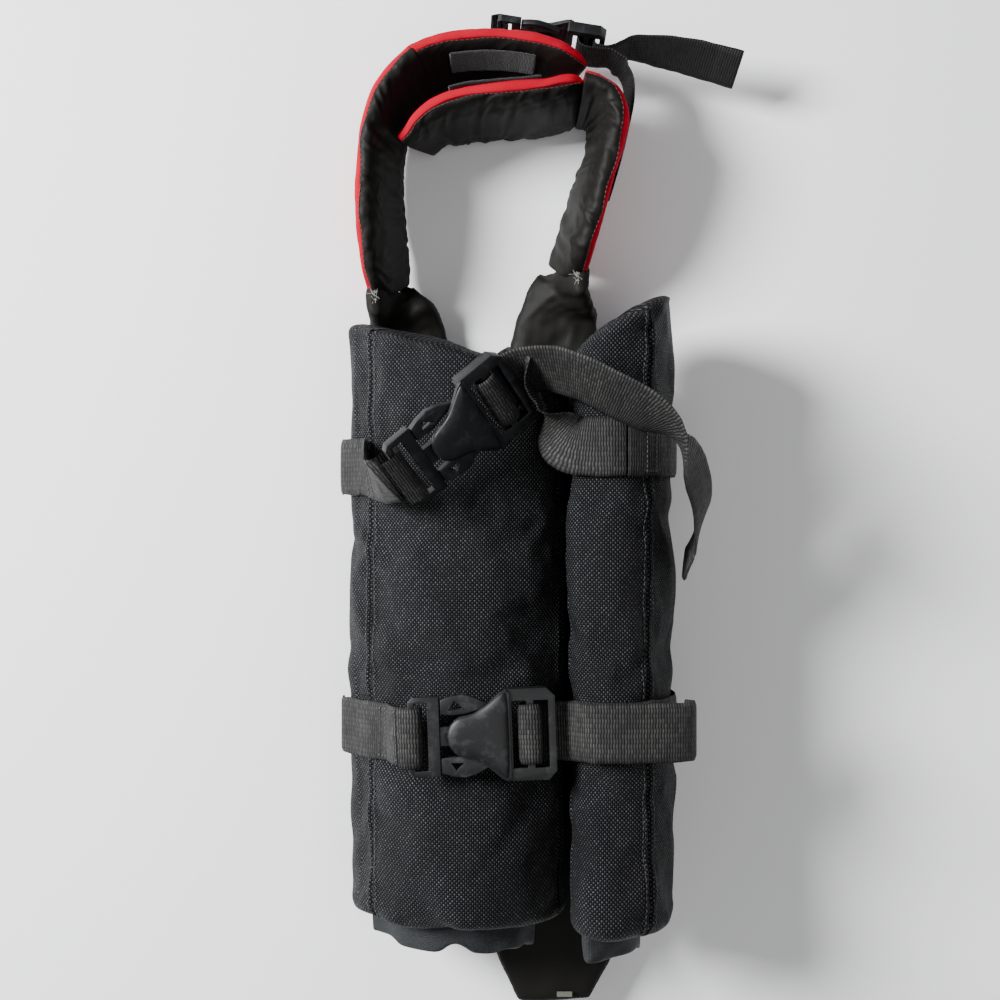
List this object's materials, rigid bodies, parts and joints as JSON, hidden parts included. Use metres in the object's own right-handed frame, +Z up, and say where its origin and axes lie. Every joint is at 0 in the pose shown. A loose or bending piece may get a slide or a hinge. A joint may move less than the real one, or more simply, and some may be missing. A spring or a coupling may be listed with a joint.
{
  "type": "pet life jacket",
  "caption": "Foam-filled pet life jacket lying on its back: two side pads buckled over the belly by webbing straps, a back panel with a tail flap, and a padded red neck collar.",
  "frame": {"origin": "Centre of the underside of the back panel, where the jacket rests on the floor.", "axes": "+X to the jacket's right-hand pad as drawn, +Y along the back towards the collar, +Z up through the belly straps."},
  "size_m": [0.1811, 0.4495, 0.1208],
  "materials": {
    "shell_fabric": "coarse ballistic nylon, black with a cool grey sparkle",
    "red_fabric": "vivid crimson fabric with a fine diagonal weave",
    "lining": "warm black satin lining",
    "foam": "closed-cell buoyancy foam, sealed inside the covers",
    "binding": "dark grey hem tape",
    "tab": "olive-grey sewn label tab, left blank",
    "hook_and_loop": "hook-and-loop tape",
    "buckle_plastic": "satin black moulded plastic, worn at the edges",
    "webbing": "black nylon webbing with grey-beige rib highlights"
  },
  "bodies": {
    "back": {"back_cover": "shell_fabric", "back_foam": "foam", "back_lining": "lining", "tail_tab": "tab", "left_shoulder": "shell_fabric", "right_shoulder": "shell_fabric"},
    "left_side": {"left_side_cover": "shell_fabric", "left_side_foam": "foam", "left_hem_binding": "binding", "lower_left_webbing": "webbing", "upper_left_webbing": "webbing", "upper_buckle_plug": "buckle_plastic", "lower_buckle_plug": "buckle_plastic"},
    "right_side": {"right_side_cover": "shell_fabric", "right_side_foam": "foam", "right_hem_binding": "binding", "upper_right_webbing": "webbing", "lower_right_webbing": "webbing", "upper_strap": "webbing", "lower_strap": "webbing", "upper_buckle_socket": "buckle_plastic", "lower_buckle_socket": "buckle_plastic"},
    "collar": {"left_arm_cover": "red_fabric", "left_arm_foam": "foam", "left_arm_lining": "lining", "right_arm_cover": "red_fabric", "right_arm_foam": "foam", "right_arm_lining": "lining", "neck_right_webbing": "webbing"},
    "left_flap": {"left_flap_cover": "red_fabric", "left_flap_foam": "foam", "left_flap_lining": "lining", "hook_patch": "hook_and_loop", "neck_left_webbing": "webbing", "neck_plug_webbing": "webbing", "neck_buckle_plug": "buckle_plastic"},
    "right_flap": {"right_flap_cover": "red_fabric", "right_flap_foam": "foam", "right_flap_lining": "lining", "loop_patch": "hook_and_loop"},
    "neck_strap": {"neck_strap": "webbing", "neck_buckle_socket": "buckle_plastic"},
    "upper_arm_a": {"upper_buckle_arm_a": "buckle_plastic"},
    "upper_arm_b": {"upper_buckle_arm_b": "buckle_plastic"},
    "lower_arm_a": {"lower_buckle_arm_a": "buckle_plastic"},
    "lower_arm_b": {"lower_buckle_arm_b": "buckle_plastic"},
    "neck_arm_a": {"neck_buckle_arm_a": "buckle_plastic"},
    "neck_arm_b": {"neck_buckle_arm_b": "buckle_plastic"}
  },
  "joints": [
    {"name": "left_side_open", "type": "hinge", "parent": "back", "child": "left_side", "pos_m": [-0.064, -0.06, 0.016], "axis": [0, -1, 0], "range_deg": [0, 120]},
    {"name": "right_side_open", "type": "hinge", "parent": "back", "child": "right_side", "pos_m": [0.062, -0.06, 0.02], "axis": [0, 1, 0], "range_deg": [0, 84]},
    {"name": "collar_fold", "type": "hinge", "parent": "back", "child": "collar", "pos_m": [-0.01, 0.101, 0.035], "axis": [0.9929, 0.1191, 0], "range_deg": [0, 60]},
    {"name": "neck_strap_swing", "type": "hinge", "parent": "collar", "child": "neck_strap", "pos_m": [0.05665, 0.16497, 0.02833], "axis": [-0.1715, 0.0271, -0.9848], "range_deg": [0, 90]},
    {"name": "left_flap_swing", "type": "hinge", "parent": "collar", "child": "left_flap", "pos_m": [-0.03879, 0.19729, 0.02836], "axis": [-0.1137, 0.174, 0.9782], "range_deg": [0, 22.5]},
    {"name": "right_flap_swing", "type": "hinge", "parent": "collar", "child": "right_flap", "pos_m": [0.03695, 0.17641, 0.03053], "axis": [0.0174, 0.1728, 0.9848], "range_deg": [0, 45]},
    {"name": "upper_arm_a_squeeze", "type": "hinge", "parent": "left_side", "child": "upper_arm_a", "pos_m": [-0.03538, 0.02615, 0.11044], "axis": [-0.456, 0.3661, -0.8112], "range_deg": [0, 5], "stiffness_Nm_per_rad": 0.05},
    {"name": "upper_arm_b_squeeze", "type": "hinge", "parent": "left_side", "child": "upper_arm_b", "pos_m": [-0.02421, 0.00986, 0.09681], "axis": [0.456, -0.3661, 0.8112], "range_deg": [0, 5], "stiffness_Nm_per_rad": 0.05},
    {"name": "lower_arm_a_squeeze", "type": "hinge", "parent": "left_side", "child": "lower_arm_a", "pos_m": [-0.02506, -0.08567, 0.0922], "axis": [0, 0, -1], "range_deg": [0, 5], "stiffness_Nm_per_rad": 0.05},
    {"name": "lower_arm_b_squeeze", "type": "hinge", "parent": "left_side", "child": "lower_arm_b", "pos_m": [-0.02422, -0.10965, 0.0922], "axis": [0, 0, 1], "range_deg": [0, 5], "stiffness_Nm_per_rad": 0.05},
    {"name": "neck_arm_a_squeeze", "type": "hinge", "parent": "left_flap", "child": "neck_arm_a", "pos_m": [0.00879, 0.20879, 0.01961], "axis": [-0.153, -0.9661, 0.2079], "range_deg": [0, 5], "stiffness_Nm_per_rad": 0.05},
    {"name": "neck_arm_b_squeeze", "type": "hinge", "parent": "left_flap", "child": "neck_arm_b", "pos_m": [0.00942, 0.21273, 0.03839], "axis": [0.153, 0.9661, -0.2079], "range_deg": [0, 5], "stiffness_Nm_per_rad": 0.05}
  ],
  "couplings": [
    {"joint": "right_side_open", "follows": "left_side_open", "ratio": 0.7},
    {"joint": "left_flap_swing", "follows": "neck_strap_swing", "ratio": 0.25},
    {"joint": "upper_arm_b_squeeze", "follows": "upper_arm_a_squeeze", "ratio": 1},
    {"joint": "lower_arm_b_squeeze", "follows": "lower_arm_a_squeeze", "ratio": 1},
    {"joint": "neck_arm_b_squeeze", "follows": "neck_arm_a_squeeze", "ratio": 1}
  ]
}
